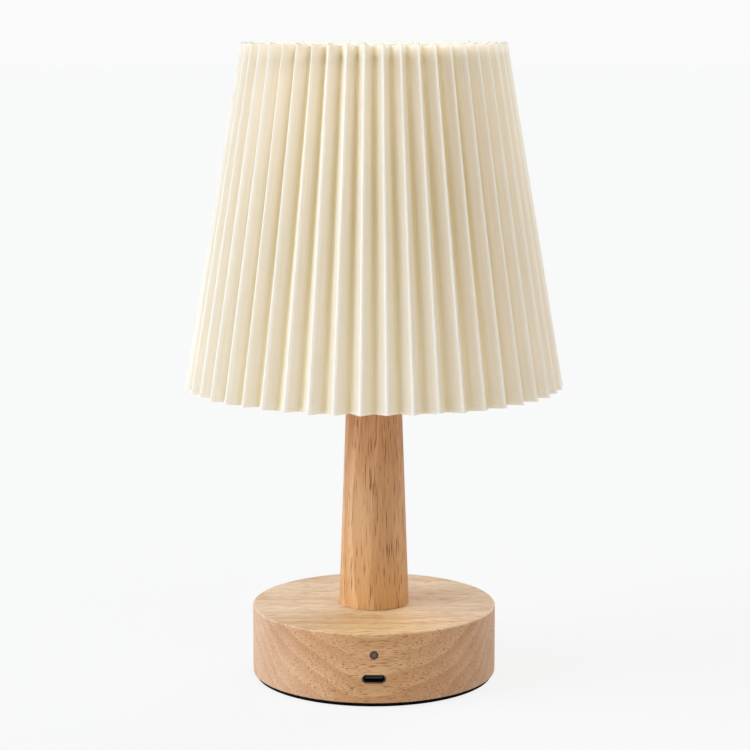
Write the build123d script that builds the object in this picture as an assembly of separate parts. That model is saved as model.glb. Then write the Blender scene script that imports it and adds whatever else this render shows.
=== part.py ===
from build123d import *
import math
import os

# Cordless table lamp: a turned wooden base and stem, a pleated shade, and a rechargeable light inside.
# Millimetres. The origin is the middle of the face it stands on, +Z is up, and -Y is the charging side.

# Wooden base and the pad under it
BASE_DIAMETER = 96.5
BASE_THICKNESS = 27.2
BASE_TOP_ROUND = 0.8
BASE_BOTTOM_ROUND = 0.5
PAD_THICKNESS = 1.6
PAD_INSET = 1.2

# Chamber routed into the base from below, and the screwed cover that closes it
CHAMBER_WALL = 6.0
CHAMBER_CEILING = 5.0
COVER_LEDGE = 2.0
COVER_THICKNESS = 2.0
COVER_CLEARANCE = 0.15
COVER_SCREW_COUNT = 4
COVER_SCREW_INSET = 3.5
COVER_SCREW_DIAMETER = 3.0
COVER_SCREW_LENGTH = 10.0
COVER_SCREW_HEAD_DIAMETER = 5.6
COVER_SCREW_HEAD_HEIGHT = 1.4
SCREW_BOSS_DIAMETER = 11.0
SCREW_CLEARANCE = 0.05

# Charging socket, a standard USB-C receptacle standing up from its board
PORT_WIDTH = 8.94
PORT_HEIGHT = 3.26
PORT_SHELL_WALL = 0.3
PORT_LENGTH = 9.3
PORT_PLUG_DEPTH = 6.2
PORT_RECESS = 0.5
PORT_CLEARANCE = 0.15
PORT_CORE_CLEARANCE = 0.05
PORT_ABOVE_UNDERSIDE = 9.55
POCKET_MARGIN = 2.0
TONGUE_WIDTH = 6.7
TONGUE_THICKNESS = 0.7
TONGUE_LENGTH = 4.5

# Lit push-button above the socket, and the switch behind it
BUTTON_DIAMETER = 3.0
BUTTON_CLEARANCE = 0.15
BUTTON_PROUD = 0.2
BUTTON_TRAVEL = 0.5
BUTTON_BELOW_TOP = 8.2
BUTTON_COLLAR_DIAMETER = 4.4
BUTTON_COLLAR_THICKNESS = 0.6
BUTTON_TAIL = 1.2
SWITCH_WIDTH = 5.2
SWITCH_DEPTH = 3.5

# Control board, its parts and the rails that hold it
BOARD_WIDTH = 20.0
BOARD_THICKNESS = 1.6
BOARD_END_GAP = 0.5
RAIL_WIDTH = 3.0
RAIL_LIP = 1.5
RAIL_GRIP = 1.2
RAIL_HEIGHT = 10.0
SLOT_CLEARANCE = 0.1
SOCKET_WIDTH = 6.0
SOCKET_HEIGHT = 4.5
SOCKET_DEPTH = 6.0
SOCKET_OFFSET = 4.5
SOCKET_ABOVE_COVER = 5.4
CHIP_WIDTH = 4.0
CHIP_THICKNESS = 1.0
COIL_DIAMETER = 5.0
COIL_HEIGHT = 3.0
CHIPS_BELOW_BOARD_TOP = 4.0

# Battery cell on the cover
CELL_LENGTH = 36.0
CELL_WIDTH = 28.0
CELL_THICKNESS = 9.0
CELL_EDGE_ROUND = 2.0
CELL_BEHIND_AXIS = 4.5
TAPE_THICKNESS = 0.5
TAPE_MARGIN = 3.0
RIB_LENGTH = 12.0
RIB_THICKNESS = 1.2
RIB_HEIGHT = 3.0
RIB_CLEARANCE = 0.3

# Wooden stem
STEM_FOOT_DIAMETER = 27.7
STEM_TOP_DIAMETER = 20.1
STEM_LENGTH = 107.2
STEM_EDGE = 0.4
TENON_DIAMETER = 17.0
TENON_LENGTH = 2.0
TENON_CLEARANCE = 0.1

# Threaded pipe that clamps base, stem and lamp holder together
PIPE_DIAMETER = 10.0
PIPE_BORE = 7.6
PIPE_CLEARANCE = 0.2
PIPE_TAIL = 1.6
PIPE_HEAD = 1.0
WASHER_DIAMETER = 22.0
WASHER_THICKNESS = 1.5
NUT_ACROSS_FLATS = 14.0
NUT_THICKNESS = 4.0
THREAD_CLEARANCE = 0.05

# Lamp holder on top of the stem
HOLDER_OVERHANG = 0.9
HOLDER_FLOOR = 8.0
FLANGE_DIAMETER = 50.0
FLANGE_THICKNESS = 2.0
FLANGE_RISE = 11.0
NECK_ROUND = 6.0
COLLAR_DIAMETER = 39.6
COLLAR_HEIGHT = 13.0
CUP_WALL = 2.5
CUP_DEPTH = 7.0
NUT_ROOM_DIAMETER = 18.0

# Light board and the opal dome over it
LED_BOARD_THICKNESS = 1.6
LED_BOARD_CLEARANCE = 0.2
LED_BOARD_HOLE = 6.0
LED_COUNT = 12
LED_CIRCLE_DIAMETER = 17.0
LED_LENGTH = 3.5
LED_WIDTH = 2.8
LED_HEIGHT = 0.7
LED_SCREW_COUNT = 2
LED_SCREW_CIRCLE_DIAMETER = 26.0
LED_SCREW_DIAMETER = 2.5
LED_SCREW_LENGTH = 6.0
LED_SCREW_HEAD_DIAMETER = 4.4
LED_SCREW_HEAD_HEIGHT = 1.6
DOME_INSET = 0.4
DOME_WALL = 1.5
DOME_STRAIGHT = 24.0
DOME_SKIRT_CLEARANCE = 0.1

# Pleated shade
SHADE_BOTTOM_DIAMETER = 148.6
SHADE_TOP_DIAMETER = 102.6
SHADE_HEIGHT = 133.1
SHADE_HANG = 30.1
PLEAT_COUNT = 48
PLEAT_FACE_WIDTH = 6.8
PLEAT_THICKNESS = 0.45
RIM_DIP = 1.4

# Wire frame that carries the shade
WIRE_DIAMETER = 2.4
WIRE_GAP = 0.1
TOP_RING_DROP = 4.5
BOTTOM_RING_RISE = 2.5
ARM_COUNT = 3
ARM_SHOULDER = 9.0
ARM_BEND_RADIUS = 8.0
FITTER_DIAMETER = 53.0
FITTER_THICKNESS = 1.2
FITTER_CLEARANCE = 0.8

# Ring nut that holds the shade down
RING_DIAMETER = 49.0
RING_HEIGHT = 7.0
RING_CLEARANCE = 0.3
RING_EDGE = 0.6
FLUTE_COUNT = 24
FLUTE_DIAMETER = 3.2
FLUTE_DEPTH = 0.7

# Insulated leads
LEAD_DIAMETER = 1.6
LEAD_SPACING = 3.2
LEAD_PITCH = 2.2
LEAD_BEND_RADIUS = 5.0
LEAD_APPROACH = 6.0
LEAD_GRIP = 3.0
LEAD_STUB = 0.6
CELL_LEAD_OFFSET = 9.0
CELL_LEAD_RUN = 12.0

# Heights of the stack, from the table up
base_bottom = PAD_THICKNESS
base_top = base_bottom + BASE_THICKNESS
ceiling = base_top - CHAMBER_CEILING
cover_top = base_bottom + COVER_THICKNESS
stem_top = base_top + STEM_LENGTH
flange_top = stem_top + FLANGE_RISE
collar_top = flange_top + COLLAR_HEIGHT
cup_floor = collar_top - CUP_DEPTH
led_board_top = cup_floor + LED_BOARD_THICKNESS
fitter_top = flange_top + FITTER_THICKNESS
shade_bottom = flange_top - SHADE_HANG
shade_top = shade_bottom + SHADE_HEIGHT
lower_nut_top = ceiling - WASHER_THICKNESS
pipe_bottom = lower_nut_top - NUT_THICKNESS - PIPE_TAIL
upper_nut_bottom = stem_top + HOLDER_FLOOR
pipe_top = upper_nut_bottom + NUT_THICKNESS + PIPE_HEAD

# Radii that several pieces share
base_radius = BASE_DIAMETER / 2
chamber_radius = base_radius - CHAMBER_WALL
rebate_radius = chamber_radius + COVER_LEDGE
cover_screw_radius = chamber_radius - COVER_SCREW_INSET
pipe_hole_radius = PIPE_DIAMETER / 2 + PIPE_CLEARANCE
thread_hole_radius = PIPE_DIAMETER / 2 + THREAD_CLEARANCE
collar_radius = COLLAR_DIAMETER / 2
cup_radius = collar_radius - CUP_WALL
dome_radius = collar_radius - DOME_INSET
led_screw_hole_radius = LED_SCREW_DIAMETER / 2 + SCREW_CLEARANCE
fitter_radius = FITTER_DIAMETER / 2
wire_radius = WIRE_DIAMETER / 2
lead_radius = LEAD_DIAMETER / 2

# Depths at the charging side, from the base's face inwards
base_face = -base_radius
port_mouth = base_face + PORT_RECESS
board_face = port_mouth + PORT_LENGTH
board_back = board_face + BOARD_THICKNESS
switch_face = board_face - SWITCH_DEPTH
pocket_face = switch_face - BUTTON_COLLAR_THICKNESS - BUTTON_TRAVEL - 2 * BUTTON_CLEARANCE
socket_back = board_back + SOCKET_DEPTH
port_level = base_bottom + PORT_ABOVE_UNDERSIDE
button_level = base_top - BUTTON_BELOW_TOP
socket_level = cover_top + SOCKET_ABOVE_COVER
board_bottom = cover_top + BOARD_END_GAP
board_top = ceiling - BOARD_END_GAP

# Battery cell's place
cell_bottom = cover_top + TAPE_THICKNESS
cell_level = cell_bottom + CELL_THICKNESS / 2
cell_middle = CELL_BEHIND_AXIS + CELL_WIDTH / 2

# Fold geometry: every face of the strip is equally wide, so the folds lie deeper where the shade is narrower
shade_bottom_radius = SHADE_BOTTOM_DIAMETER / 2
shade_top_radius = SHADE_TOP_DIAMETER / 2
half_pleat = math.pi / PLEAT_COUNT


def fold_depth(ridge):
    chord = 1 - math.cos(half_pleat)
    return ridge * chord + math.sqrt((ridge * chord) ** 2 + PLEAT_FACE_WIDTH**2 - 2 * ridge**2 * chord)


bottom_fold_depth = fold_depth(shade_bottom_radius)
top_fold_depth = fold_depth(shade_top_radius)
rim_slope = RIM_DIP / top_fold_depth
fold_angle = math.asin(shade_bottom_radius * math.sin(half_pleat) / PLEAT_FACE_WIDTH)
fold_inset = PLEAT_THICKNESS / math.sin(fold_angle)


def ridge_radius(z):
    return shade_bottom_radius + (shade_top_radius - shade_bottom_radius) * (z - shade_bottom) / SHADE_HEIGHT


def valley_radius(z):
    rise = (z - shade_bottom) / SHADE_HEIGHT
    return ridge_radius(z) - bottom_fold_depth - (top_fold_depth - bottom_fold_depth) * rise


def wire_ring_radius(z):
    return valley_radius(z) - fold_inset - wire_radius - WIRE_GAP


top_ring_level = shade_top - TOP_RING_DROP
bottom_ring_level = shade_bottom + BOTTOM_RING_RISE


# Shared building blocks

def disc(radius, z, height):
    return Pos(0, 0, z) * Cylinder(radius, height, align=(Align.CENTER, Align.CENTER, Align.MIN))


def block(width, depth, height, x, y, z):
    return Pos(x, y, z) * Box(width, depth, height, align=(Align.CENTER, Align.CENTER, Align.MIN))


def turned(*edges):
    return revolve(Plane.XZ * make_face(Curve() + list(edges)), Axis.Z)


def facing(y, z, x=0):
    return Plane(origin=(x, y, z), x_dir=(1, 0, 0), z_dir=(0, -1, 0))


def rod(radius, y, z, length):
    return extrude(facing(y, z) * Circle(radius), length)


def wire(radius, path):
    return sweep(Plane(origin=path @ 0, z_dir=path % 0) * Circle(radius), path)


def group(pieces):
    return Compound([solid for piece in pieces for solid in piece.solids()])


def cover_screw_places():
    return PolarLocations(cover_screw_radius, COVER_SCREW_COUNT, start_angle=180 / COVER_SCREW_COUNT)


def led_screw_places():
    return PolarLocations(LED_SCREW_CIRCLE_DIAMETER / 2, LED_SCREW_COUNT)


# Base

def foot_pad():
    return disc(base_radius - PAD_INSET, 0, PAD_THICKNESS)


def base_block():
    body = disc(base_radius, base_bottom, BASE_THICKNESS)
    body = fillet(body.edges().group_by(Axis.Z)[-1], BASE_TOP_ROUND)
    body = fillet(body.edges().group_by(Axis.Z)[0], BASE_BOTTOM_ROUND)
    body -= disc(rebate_radius, base_bottom, COVER_THICKNESS)
    pocket = Rectangle(PORT_WIDTH + 2 * POCKET_MARGIN, -pocket_face, align=(Align.CENTER, Align.MAX))
    room = Circle(chamber_radius) - cover_screw_places() * Circle(SCREW_BOSS_DIAMETER / 2) + pocket
    body -= Pos(0, 0, base_bottom) * extrude(room, ceiling - base_bottom)
    pilot = disc(COVER_SCREW_DIAMETER / 2 + SCREW_CLEARANCE, cover_top, COVER_SCREW_LENGTH)
    body -= cover_screw_places() * pilot
    body -= disc(pipe_hole_radius, ceiling, CHAMBER_CEILING)
    body -= disc(TENON_DIAMETER / 2 + TENON_CLEARANCE, base_top - TENON_LENGTH, TENON_LENGTH)
    wall = pocket_face - base_face
    port = SlotOverall(PORT_WIDTH + 2 * PORT_CLEARANCE, PORT_HEIGHT + 2 * PORT_CLEARANCE)
    body -= extrude(facing(pocket_face, port_level) * port, wall)
    body -= rod(BUTTON_DIAMETER / 2 + BUTTON_CLEARANCE, pocket_face, button_level, wall)
    return body


def bottom_cover():
    body = disc(rebate_radius - COVER_CLEARANCE, base_bottom, COVER_THICKNESS)
    rail_depth = BOARD_THICKNESS + 2 * RAIL_LIP
    rail_middle = (board_face + board_back) / 2
    rail_offset = BOARD_WIDTH / 2 - RAIL_GRIP + RAIL_WIDTH / 2
    for side in (-1, 1):
        body += block(RAIL_WIDTH, rail_depth, RAIL_HEIGHT, side * rail_offset, rail_middle, cover_top)
    slot_width = BOARD_WIDTH + 2 * SLOT_CLEARANCE
    slot_depth = BOARD_THICKNESS + 2 * SLOT_CLEARANCE
    body -= block(slot_width, slot_depth, RAIL_HEIGHT, 0, rail_middle, cover_top)
    along = CELL_WIDTH / 2 + RIB_CLEARANCE + RIB_THICKNESS / 2
    across = CELL_LENGTH / 2 + RIB_CLEARANCE + RIB_THICKNESS / 2
    for side in (-1, 1):
        body += block(RIB_LENGTH, RIB_THICKNESS, RIB_HEIGHT, 0, cell_middle + side * along, cover_top)
        body += block(RIB_THICKNESS, RIB_LENGTH, RIB_HEIGHT, side * across, cell_middle, cover_top)
    body -= cover_screw_places() * cover_screw(SCREW_CLEARANCE)
    return body


def cover_screw(clearance=0.0):
    head = COVER_SCREW_HEAD_DIAMETER / 2 + clearance
    shank = COVER_SCREW_DIAMETER / 2 + clearance
    tip = cover_top + COVER_SCREW_LENGTH
    neck = base_bottom + COVER_SCREW_HEAD_HEIGHT
    return turned(
        Polyline(
            (0, base_bottom),
            (head, base_bottom),
            (shank, neck),
            (shank, tip - shank),
            (0, tip),
            close=True,
        )
    )


def cover_screws():
    return group(cover_screw_places() * cover_screw())


# Battery

def cell_tape():
    return block(
        CELL_LENGTH - 2 * TAPE_MARGIN, CELL_WIDTH - 2 * TAPE_MARGIN, TAPE_THICKNESS, 0, cell_middle, cover_top
    )


def battery_cell():
    body = block(CELL_LENGTH, CELL_WIDTH, CELL_THICKNESS, 0, cell_middle, cell_bottom)
    return fillet(body.edges().filter_by(Axis.X), CELL_EDGE_ROUND)


# Control board

def control_board():
    return block(
        BOARD_WIDTH, BOARD_THICKNESS, board_top - board_bottom, 0, (board_face + board_back) / 2, board_bottom
    )


def board_chips():
    level = board_top - CHIPS_BELOW_BOARD_TOP
    chip_face = facing(board_back + CHIP_THICKNESS, level, -SOCKET_OFFSET)
    coil_face = facing(board_back + COIL_HEIGHT, level, SOCKET_OFFSET)
    chip = extrude(chip_face * Rectangle(CHIP_WIDTH, CHIP_WIDTH), CHIP_THICKNESS)
    coil = extrude(coil_face * Circle(COIL_DIAMETER / 2), COIL_HEIGHT)
    return group([chip, coil])


def wire_sockets():
    outline = Rectangle(SOCKET_WIDTH, SOCKET_HEIGHT)
    entries = Sketch() + GridLocations(LEAD_PITCH, 0, 2, 1) * Circle(lead_radius + SLOT_CLEARANCE)
    sockets = []
    for side in (-1, 1):
        back = facing(socket_back, socket_level, side * SOCKET_OFFSET)
        sockets.append(extrude(back * outline, SOCKET_DEPTH) - extrude(back * entries, LEAD_GRIP))
    return group(sockets)


def usb_shell():
    outer = SlotOverall(PORT_WIDTH, PORT_HEIGHT)
    inner = SlotOverall(PORT_WIDTH - 2 * PORT_SHELL_WALL, PORT_HEIGHT - 2 * PORT_SHELL_WALL)
    return extrude(facing(board_face, port_level) * (outer - inner), PORT_LENGTH)


def usb_tongue():
    lining = PORT_SHELL_WALL + PORT_CORE_CLEARANCE
    plug = SlotOverall(PORT_WIDTH - 2 * lining, PORT_HEIGHT - 2 * lining)
    core = PORT_LENGTH - PORT_PLUG_DEPTH
    body = extrude(facing(board_face, port_level) * plug, core)
    tongue = facing(board_face - core, port_level) * Rectangle(TONGUE_WIDTH, TONGUE_THICKNESS)
    return body + extrude(tongue, TONGUE_LENGTH)


def button_switch():
    body = extrude(facing(board_face, button_level) * Rectangle(SWITCH_WIDTH, SWITCH_WIDTH), SWITCH_DEPTH)
    room = BUTTON_TAIL + BUTTON_TRAVEL + BUTTON_CLEARANCE
    return body - rod(BUTTON_DIAMETER / 2 + BUTTON_CLEARANCE, switch_face + room, button_level, room)


def power_button():
    back = switch_face + BUTTON_TAIL
    tip = base_face - BUTTON_PROUD
    pin = rod(BUTTON_DIAMETER / 2, back, button_level, back - tip)
    collar_back = pocket_face + BUTTON_CLEARANCE + BUTTON_COLLAR_THICKNESS
    return pin + rod(BUTTON_COLLAR_DIAMETER / 2, collar_back, button_level, BUTTON_COLLAR_THICKNESS)


# Leads

def led_leads():
    approach = socket_back + LEAD_APPROACH
    inside = socket_back - LEAD_GRIP
    leads = []
    for side in (-1, 1):
        start = side * LEAD_SPACING / 2
        finish = -SOCKET_OFFSET + side * LEAD_PITCH / 2
        path = FilletPolyline(
            (start, 0, led_board_top + LEAD_STUB),
            (start, 0, socket_level),
            (finish, approach, socket_level),
            (finish, inside, socket_level),
            radius=LEAD_BEND_RADIUS,
        )
        leads.append(wire(lead_radius, path))
    return group(leads)


def cell_leads():
    approach = socket_back + LEAD_APPROACH
    inside = socket_back - LEAD_GRIP
    leads = []
    for side in (-1, 1):
        start = CELL_LEAD_OFFSET + side * LEAD_SPACING / 2
        finish = SOCKET_OFFSET + side * LEAD_PITCH / 2
        path = FilletPolyline(
            (start, CELL_BEHIND_AXIS, cell_level),
            (start, CELL_BEHIND_AXIS - CELL_LEAD_RUN, cell_level),
            (finish, approach, socket_level),
            (finish, inside, socket_level),
            radius=LEAD_BEND_RADIUS,
        )
        leads.append(wire(lead_radius, path))
    return group(leads)


# Stem and the pipe through it

def stem():
    foot = STEM_FOOT_DIAMETER / 2
    top = STEM_TOP_DIAMETER / 2
    tenon = TENON_DIAMETER / 2
    return turned(
        Polyline(
            (pipe_hole_radius, base_top - TENON_LENGTH),
            (tenon, base_top - TENON_LENGTH),
            (tenon, base_top),
            (foot - STEM_EDGE, base_top),
            (foot, base_top + STEM_EDGE),
            (top, stem_top - STEM_EDGE),
            (top - STEM_EDGE, stem_top),
            (pipe_hole_radius, stem_top),
            close=True,
        )
    )


def lamp_pipe():
    length = pipe_top - pipe_bottom
    return disc(PIPE_DIAMETER / 2, pipe_bottom, length) - disc(PIPE_BORE / 2, pipe_bottom, length)


def pipe_washer():
    return disc(WASHER_DIAMETER / 2, lower_nut_top, WASHER_THICKNESS) - disc(
        pipe_hole_radius, lower_nut_top, WASHER_THICKNESS
    )


def pipe_nuts():
    outline = RegularPolygon(NUT_ACROSS_FLATS / 2, 6, major_radius=False) - Circle(thread_hole_radius)
    nut = extrude(outline, NUT_THICKNESS)
    return group([Pos(0, 0, lower_nut_top - NUT_THICKNESS) * nut, Pos(0, 0, upper_nut_bottom) * nut])


# Lamp holder and light

def lamp_holder():
    foot = STEM_TOP_DIAMETER / 2 + HOLDER_OVERHANG
    flange = FLANGE_DIAMETER / 2
    flange_bottom = flange_top - FLANGE_THICKNESS
    neck_top = flange_bottom - NECK_ROUND
    room = NUT_ROOM_DIAMETER / 2
    body = turned(
        Polyline((thread_hole_radius, stem_top), (foot, stem_top), (foot, neck_top)),
        CenterArc((foot + NECK_ROUND, neck_top), NECK_ROUND, 180, -90),
        Polyline(
            (foot + NECK_ROUND, flange_bottom),
            (flange, flange_bottom),
            (flange, flange_top),
            (collar_radius, flange_top),
            (collar_radius, collar_top),
            (cup_radius, collar_top),
            (cup_radius, cup_floor),
            (room, cup_floor),
            (room, upper_nut_bottom),
            (thread_hole_radius, upper_nut_bottom),
            (thread_hole_radius, stem_top),
        ),
    )
    depth = LED_SCREW_LENGTH - LED_BOARD_THICKNESS
    return body - led_screw_places() * disc(led_screw_hole_radius, cup_floor - depth, depth)


def led_board():
    body = disc(cup_radius - LED_BOARD_CLEARANCE, cup_floor, LED_BOARD_THICKNESS)
    body -= disc(LED_BOARD_HOLE / 2, cup_floor, LED_BOARD_THICKNESS)
    return body - led_screw_places() * disc(led_screw_hole_radius, cup_floor, LED_BOARD_THICKNESS)


def led_chips():
    return group(
        PolarLocations(LED_CIRCLE_DIAMETER / 2, LED_COUNT, start_angle=180 / LED_COUNT)
        * block(LED_LENGTH, LED_WIDTH, LED_HEIGHT, 0, 0, led_board_top)
    )


def led_screws():
    head = disc(LED_SCREW_HEAD_DIAMETER / 2, led_board_top, LED_SCREW_HEAD_HEIGHT)
    shank = disc(LED_SCREW_DIAMETER / 2, led_board_top - LED_SCREW_LENGTH, LED_SCREW_LENGTH)
    return group(led_screw_places() * (head + shank))


def opal_dome():
    skirt = cup_radius - DOME_SKIRT_CLEARANCE
    inside = dome_radius - DOME_WALL
    skirt_inside = skirt - DOME_WALL
    spring = collar_top + DOME_STRAIGHT
    return turned(
        Polyline(
            (inside, spring),
            (inside, collar_top + DOME_WALL),
            (skirt_inside, collar_top + DOME_WALL),
            (skirt_inside, led_board_top),
            (skirt, led_board_top),
            (skirt, collar_top),
            (dome_radius, collar_top),
            (dome_radius, spring),
        ),
        CenterArc((0, spring), dome_radius, 0, 90),
        Line((0, spring + dome_radius), (0, spring + inside)),
        CenterArc((0, spring), inside, 0, 90),
    )


# Shade

def zigzag(z, inset):
    points = []
    for pleat in range(PLEAT_COUNT):
        for radius, step in ((valley_radius(z), 2 * pleat), (ridge_radius(z), 2 * pleat + 1)):
            turn = step * half_pleat - math.pi / 2
            points.append(((radius - inset) * math.cos(turn), (radius - inset) * math.sin(turn)))
    return Pos(0, 0, z) * make_face(Polyline(*points, close=True))


def pleated_shade():
    trim = shade_top + 2 * RIM_DIP
    outside = loft([zigzag(shade_bottom, 0), zigzag(trim, 0)], ruled=True)
    inside = loft([zigzag(shade_bottom, fold_inset), zigzag(trim, fold_inset)], ruled=True)
    far = shade_bottom_radius + PLEAT_FACE_WIDTH
    above_rim = turned(
        Polyline(
            (0, shade_top - rim_slope * shade_top_radius),
            (far, shade_top + rim_slope * (far - shade_top_radius)),
            (far, 2 * shade_top),
            (0, 2 * shade_top),
            close=True,
        )
    )
    return outside - inside - above_rim


def wire_ring(z):
    return Pos(0, 0, z) * Torus(wire_ring_radius(z), wire_radius)


def shade_top_ring():
    return wire_ring(top_ring_level)


def shade_bottom_ring():
    return wire_ring(bottom_ring_level)


def shade_arms():
    level = flange_top + FITTER_THICKNESS / 2
    path = Plane.XZ * FilletPolyline(
        (fitter_radius - wire_radius, level),
        (fitter_radius + ARM_SHOULDER, level),
        (wire_ring_radius(bottom_ring_level), bottom_ring_level),
        radius=ARM_BEND_RADIUS,
    )
    arm = wire(wire_radius, path) - disc(fitter_radius, level - WIRE_DIAMETER, 2 * WIRE_DIAMETER)
    arm -= shade_bottom_ring()
    return group(PolarLocations(0, ARM_COUNT, start_angle=90) * arm)


def fitter_ring():
    return disc(fitter_radius, flange_top, FITTER_THICKNESS) - disc(
        collar_radius + FITTER_CLEARANCE, flange_top, FITTER_THICKNESS
    )


def shade_ring():
    outer = RING_DIAMETER / 2
    bore = collar_radius + RING_CLEARANCE
    body = disc(outer, fitter_top, RING_HEIGHT) - disc(bore, fitter_top, RING_HEIGHT)
    body = chamfer(body.edges().group_by(Axis.Z)[-1].sort_by(SortBy.RADIUS)[-1], RING_EDGE)
    flute = disc(FLUTE_DIAMETER / 2, fitter_top, RING_HEIGHT)
    return body - PolarLocations(outer + FLUTE_DIAMETER / 2 - FLUTE_DEPTH, FLUTE_COUNT) * flute


PIECES = [
    foot_pad,
    base_block,
    bottom_cover,
    cover_screws,
    cell_tape,
    battery_cell,
    control_board,
    board_chips,
    wire_sockets,
    usb_shell,
    usb_tongue,
    button_switch,
    power_button,
    led_leads,
    cell_leads,
    stem,
    lamp_pipe,
    pipe_washer,
    pipe_nuts,
    lamp_holder,
    led_board,
    led_chips,
    led_screws,
    opal_dome,
    pleated_shade,
    shade_top_ring,
    shade_bottom_ring,
    shade_arms,
    fitter_ring,
    shade_ring,
]

os.makedirs("parts", exist_ok=True)
for piece in PIECES:
    export_step(piece(), f"parts/{piece.__name__}.step")
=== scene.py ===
# %% [markdown]
# # A cordless desk lamp with a pleated shade
#
# This lesson dresses a finished CAD model. The lamp has a turned wooden base and stem, a folded
# fabric shade on a white wire frame, and a rechargeable light inside. The CAD model already has
# every piece in its place, in metres, so nothing is moved here. We give the pieces their finishes,
# and model again in Blender those that a camera comes close to: the wood, the shade, the foot pad,
# the button, the charging socket, the lamp holder and the opal dome.

# %% Load the lamp
import math

import bmesh
import bpy
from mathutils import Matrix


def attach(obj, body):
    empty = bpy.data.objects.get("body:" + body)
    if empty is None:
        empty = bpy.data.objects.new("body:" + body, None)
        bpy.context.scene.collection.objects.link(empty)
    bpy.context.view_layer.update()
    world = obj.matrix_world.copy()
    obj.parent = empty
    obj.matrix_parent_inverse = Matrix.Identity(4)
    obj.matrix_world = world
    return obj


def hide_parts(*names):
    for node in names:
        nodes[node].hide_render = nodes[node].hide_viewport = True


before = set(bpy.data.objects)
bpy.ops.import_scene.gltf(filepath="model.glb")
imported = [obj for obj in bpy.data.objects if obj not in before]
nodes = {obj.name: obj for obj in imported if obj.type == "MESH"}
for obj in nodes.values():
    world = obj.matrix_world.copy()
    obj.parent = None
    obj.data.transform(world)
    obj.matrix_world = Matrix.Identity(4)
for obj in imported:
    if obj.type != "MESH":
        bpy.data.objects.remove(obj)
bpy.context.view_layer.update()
print("pieces from CAD:", len(nodes))

# %% [markdown]
# ## The camera
#
# A product photograph is usually taken with a long lens from a little above the object. The base
# and the rims of the shade show as ellipses, and how flat they are gives the camera's height,
# distance and tilt. A long lens can also be guessed by eye, but then the front and back of the rim
# never line up.

# %% Place the camera
CAMERA_TILT = 8.94
CAMERA_PLACE = (0.0004, -0.8719, 0.2576)
SENSOR_WIDTH = 36
LENS = 107.8

bpy.ops.object.select_all(action="DESELECT")
bpy.ops.object.camera_add(location=CAMERA_PLACE, rotation=(math.radians(90 - CAMERA_TILT), 0, 0))
camera = bpy.context.object
camera.name = "photo_camera"
camera.data.sensor_width = SENSOR_WIDTH
camera.data.lens = LENS
bpy.context.scene.camera = camera
print("camera height in mm:", round(1000 * camera.location.z, 1))

# %% [markdown]
# ## Shader helpers
#
# Materials are built from nodes in code, so a few short helpers save a lot of typing: one adds a
# node and wires it, one does sums, one blends two colours, one turns a range of values into 0 to 1,
# and one mixes two shaders. A socket knows its own tree, so a node that is wired to another finds
# its tree by itself. A colour is written as the 0 to 255 values that a paint program shows, and is
# turned into the linear values that shaders work in.

# %% Helpers for nodes
def swatch(red, green, blue):
    channels = [value / 255 for value in (red, green, blue)]
    linear = [c / 12.92 if c <= 0.04045 else ((c + 0.055) / 1.055) ** 2.4 for c in channels]
    return (*linear, 1.0)


def is_socket(value):
    return isinstance(value, bpy.types.NodeSocket)


def wire_or_set(socket, value):
    if is_socket(value):
        socket.id_data.links.new(value, socket)
    else:
        socket.default_value = value


def add(tree, kind, inputs=None, **settings):
    node = tree.nodes.new("ShaderNode" + kind)
    for name, value in settings.items():
        setattr(node, name, value)
    for name, value in (inputs or {}).items():
        wire_or_set(node.inputs[name], value)
    return node


def out(tree, kind, inputs=None, **settings):
    return add(tree, kind, inputs, **settings).outputs[0]


def tree_of(*values):
    return next(value.id_data for value in values if is_socket(value))


def sums(operation, *values):
    sockets = dict(enumerate(values))
    return out(tree_of(*values), "Math", sockets, operation=operation)


def blend(share, first, second, mode="MIX"):
    tree = tree_of(share, first, second)
    sockets = {0: share, 6: first, 7: second}
    return add(tree, "Mix", sockets, data_type="RGBA", blend_type=mode).outputs[2]


def ramp(value, low, high):
    sockets = {"Value": value, "From Min": low, "From Max": high}
    return out(value.id_data, "MapRange", sockets, interpolation_type="SMOOTHSTEP")


def mix_shaders(share, first, second):
    return out(first.id_data, "MixShader", {0: share, 1: first, 2: second})


print("a pale swatch in linear values:", [round(c, 3) for c in swatch(250, 250, 250)])

# %% [markdown]
# ## Studio light and floor
#
# The photograph has a large, slightly cool window on the left, a weaker one behind on the right, a
# white room around it, and almost no shadow. A weak reflector in front lifts the right side. Suns
# with a wide angle act like very large soft boxes, and light the floor evenly out to the horizon,
# where an area lamp would leave a bright patch. The world gives the soft light of a white room, a
# little warmer than the lamps. What the camera sees of it, also in metal and through the fabric, is
# the pale background.

# %% Light the set
BACKGROUND = swatch(250, 250, 250)
ROOM_LIGHT = 0.385
COOL = (0.775, 0.885, 1.0)
NEUTRAL = (0.96, 0.98, 1.0)
WARM = (1.0, 0.96, 0.87, 1.0)


def bare_tree(owner):
    owner.use_nodes = True
    owner.node_tree.nodes.clear()
    return owner.node_tree


def seen_by_camera(tree):
    rays = add(tree, "LightPath").outputs
    seen = sums("MAXIMUM", rays["Is Camera Ray"], rays["Is Glossy Ray"])
    return sums("MAXIMUM", seen, rays["Is Transmission Ray"])


def soft_sun(name, azimuth, height, strength, spread, tint):
    bpy.ops.object.select_all(action="DESELECT")
    turn = (math.radians(90 - height), 0, math.radians(azimuth))
    bpy.ops.object.light_add(type="SUN", location=(0, 0, 1), rotation=turn)
    lamp = bpy.context.object
    lamp.name = name
    lamp.data.energy = strength
    lamp.data.angle = math.radians(spread)
    lamp.data.color = tint
    return lamp


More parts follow.
